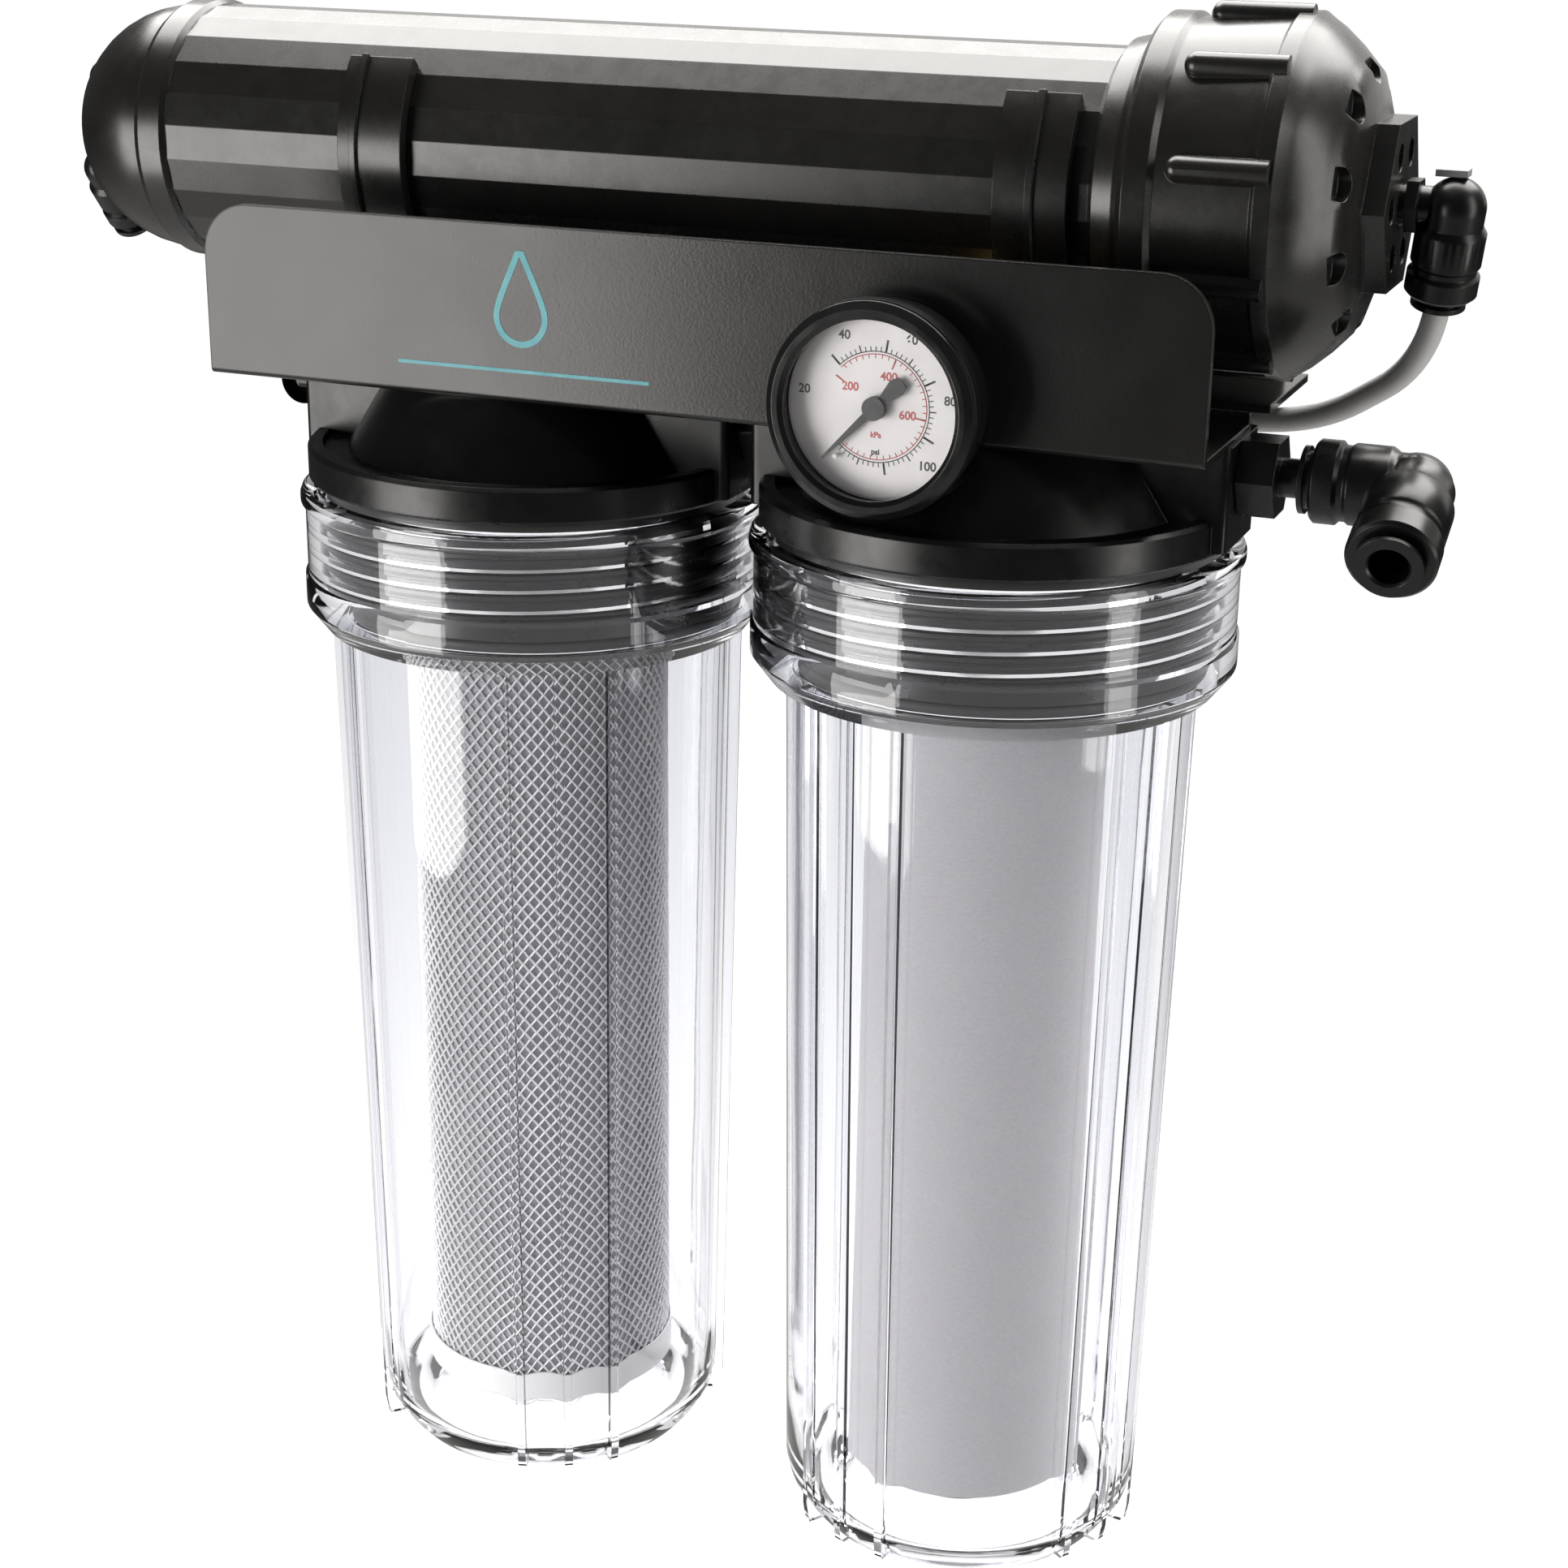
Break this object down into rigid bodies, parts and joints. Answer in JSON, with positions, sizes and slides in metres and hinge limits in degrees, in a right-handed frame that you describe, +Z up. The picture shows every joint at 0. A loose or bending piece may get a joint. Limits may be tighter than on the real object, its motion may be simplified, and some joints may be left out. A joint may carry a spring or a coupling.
{
  "type": "reverse osmosis unit",
  "caption": "Wall-hung reverse osmosis water unit: clear screw-on prefilter housings, pressure gauge and a horizontal membrane vessel on one bent bracket.",
  "frame": {"origin": "on the wall plane, midway between the two wall screw holes", "axes": "+X along the bracket towards the inlet, +Y back into the wall, +Z up"},
  "size_m": [0.4045, 0.137, 0.4119],
  "materials": {
    "bracket": "satin powder coat",
    "zinc_screw": "zinc plated",
    "black_plastic": "moulded, semi gloss",
    "clear_bowl": "clear, glossy",
    "rubber_seal": "matte",
    "spun_filter": "soft spun fibre",
    "white_plastic": "moulded",
    "carbon": "sintered carbon, rough",
    "netting": "woven net",
    "gauge_black": "gloss",
    "gauge_window": "clear",
    "dial_white": "matt white with printed scale",
    "pointer_black": "matt",
    "brass": "turned",
    "vessel_plastic": "moulded dark grey, satin",
    "membrane": "rolled film under tape",
    "grey_plastic": "moulded",
    "white_tube": "flexible polyethylene"
  },
  "bodies": {
    "bracket": {"bracket": "bracket", "head_screws": "zinc_screw", "clip_screws": "zinc_screw", "head_left": "black_plastic", "head_right": "black_plastic", "housing_nipple": "black_plastic", "gauge_case": "gauge_black", "gauge_bezel": "gauge_black", "gauge_lens": "gauge_window", "gauge_dial": "dial_white", "gauge_movement": "brass", "gauge_spring_tube": "brass", "gauge_elbow": "brass", "vessel": "vessel_plastic", "membrane_roll": "membrane", "membrane_core": "white_plastic", "core_seals": "rubber_seal", "membrane_end_left": "white_plastic", "membrane_end_right": "white_plastic", "brine_seal": "rubber_seal", "clip_left": "vessel_plastic", "clip_right": "vessel_plastic", "inlet_adapter": "black_plastic", "outlet_elbow": "black_plastic", "feed_elbow": "black_plastic", "feed_tab": "grey_plastic", "feed_tube": "white_tube"},
    "left_seal": {"bowl_seal_left": "rubber_seal"},
    "left_bowl": {"bowl_left": "clear_bowl", "carbon_block": "carbon", "carbon_netting": "netting", "carbon_cap_top": "white_plastic", "carbon_cap_bottom": "white_plastic", "carbon_gaskets": "rubber_seal"},
    "right_seal": {"bowl_seal_right": "rubber_seal"},
    "right_bowl": {"bowl_right": "clear_bowl", "sediment_filter": "spun_filter", "sediment_core": "white_plastic"},
    "cap_seal": {"cap_seal": "rubber_seal"},
    "cap": {"vessel_cap": "vessel_plastic"},
    "pointer": {"gauge_pointer": "pointer_black"},
    "sector": {"gauge_sector": "brass"},
    "inlet": {"inlet_elbow": "black_plastic"},
    "inlet_stem_collet": {"inlet_stem_collet": "black_plastic"},
    "inlet_collet": {"inlet_collet": "black_plastic"},
    "outlet_collet": {"outlet_collet": "black_plastic"},
    "feed_collet": {"feed_collet": "black_plastic"},
    "permeate": {"permeate_elbow": "black_plastic"},
    "permeate_collet": {"permeate_collet": "black_plastic"},
    "drain": {"drain_elbow": "black_plastic"},
    "drain_collet": {"drain_collet": "black_plastic"}
  },
  "joints": [
    {"name": "left_bowl_drop", "type": "slide", "parent": "bracket", "child": "left_seal", "axis": [0, 0, -1], "range_m": [0, 0.02971]},
    {"name": "left_bowl_turn", "type": "hinge", "parent": "left_seal", "child": "left_bowl", "pos_m": [-0.0585, -0.074, -0.096], "axis": [0, 0, -1], "range_deg": [0, 1980]},
    {"name": "right_bowl_drop", "type": "slide", "parent": "bracket", "child": "right_seal", "axis": [0, 0, -1], "range_m": [0, 0.02971]},
    {"name": "right_bowl_turn", "type": "hinge", "parent": "right_seal", "child": "right_bowl", "pos_m": [0.0715, -0.074, -0.096], "axis": [0, 0, -1], "range_deg": [0, 1980]},
    {"name": "cap_back_off", "type": "slide", "parent": "bracket", "child": "cap_seal", "axis": [1, 0, 0], "range_m": [0, 0.000505]},
    {"name": "cap_turn", "type": "hinge", "parent": "cap_seal", "child": "cap", "pos_m": [0.12, -0.05, 0.0184], "axis": [1, 0, 0], "range_deg": [0, 36]},
    {"name": "pointer_turn", "type": "hinge", "parent": "bracket", "child": "pointer", "pos_m": [0.0566, -0.126, -0.0259], "axis": [0, 1, 0], "range_deg": [0, 270]},
    {"name": "sector_turn", "type": "hinge", "parent": "bracket", "child": "sector", "pos_m": [0.0566, -0.122, -0.0369], "axis": [0, 1, 0], "range_deg": [-30.05, 0]},
    {"name": "inlet_swivel", "type": "hinge", "parent": "bracket", "child": "inlet", "pos_m": [0.1752, -0.074, -0.045], "axis": [1, 0, 0], "range_deg": [-90, 90]},
    {"name": "inlet_stem_release", "type": "slide", "parent": "inlet", "child": "inlet_stem_collet", "axis": [1, 0, 0], "range_m": [0, 0.0015]},
    {"name": "inlet_release", "type": "slide", "parent": "inlet", "child": "inlet_collet", "axis": [0, 0.9272, 0.3746], "range_m": [0, 0.0015]},
    {"name": "outlet_release", "type": "slide", "parent": "bracket", "child": "outlet_collet", "axis": [0, -1, 0], "range_m": [0, 0.0015]},
    {"name": "feed_release", "type": "slide", "parent": "bracket", "child": "feed_collet", "axis": [0.1191, -0.2402, 0.9634], "range_m": [0, 0.0015]},
    {"name": "permeate_swivel", "type": "hinge", "parent": "bracket", "child": "permeate", "pos_m": [-0.2112, -0.04, 0.0284], "axis": [1, 0, 0], "range_deg": [-30, 110]},
    {"name": "permeate_release", "type": "slide", "parent": "permeate", "child": "permeate_collet", "axis": [0, -1, 0], "range_m": [0, 0.0015]},
    {"name": "drain_swivel", "type": "hinge", "parent": "bracket", "child": "drain", "pos_m": [-0.2112, -0.044, 0.0044], "axis": [1, 0, 0], "range_deg": [-90, 30]},
    {"name": "drain_release", "type": "slide", "parent": "drain", "child": "drain_collet", "axis": [0, -0.6428, 0.766], "range_m": [0, 0.0015]}
  ],
  "couplings": [
    {"joint": "left_bowl_drop", "follows": "left_bowl_turn", "m_per_rad": 0.00085944},
    {"joint": "right_bowl_drop", "follows": "right_bowl_turn", "m_per_rad": 0.00085944},
    {"joint": "cap_back_off", "follows": "cap_turn", "m_per_rad": 0.00079577},
    {"joint": "sector_turn", "follows": "pointer_turn", "ratio": -0.11111}
  ]
}
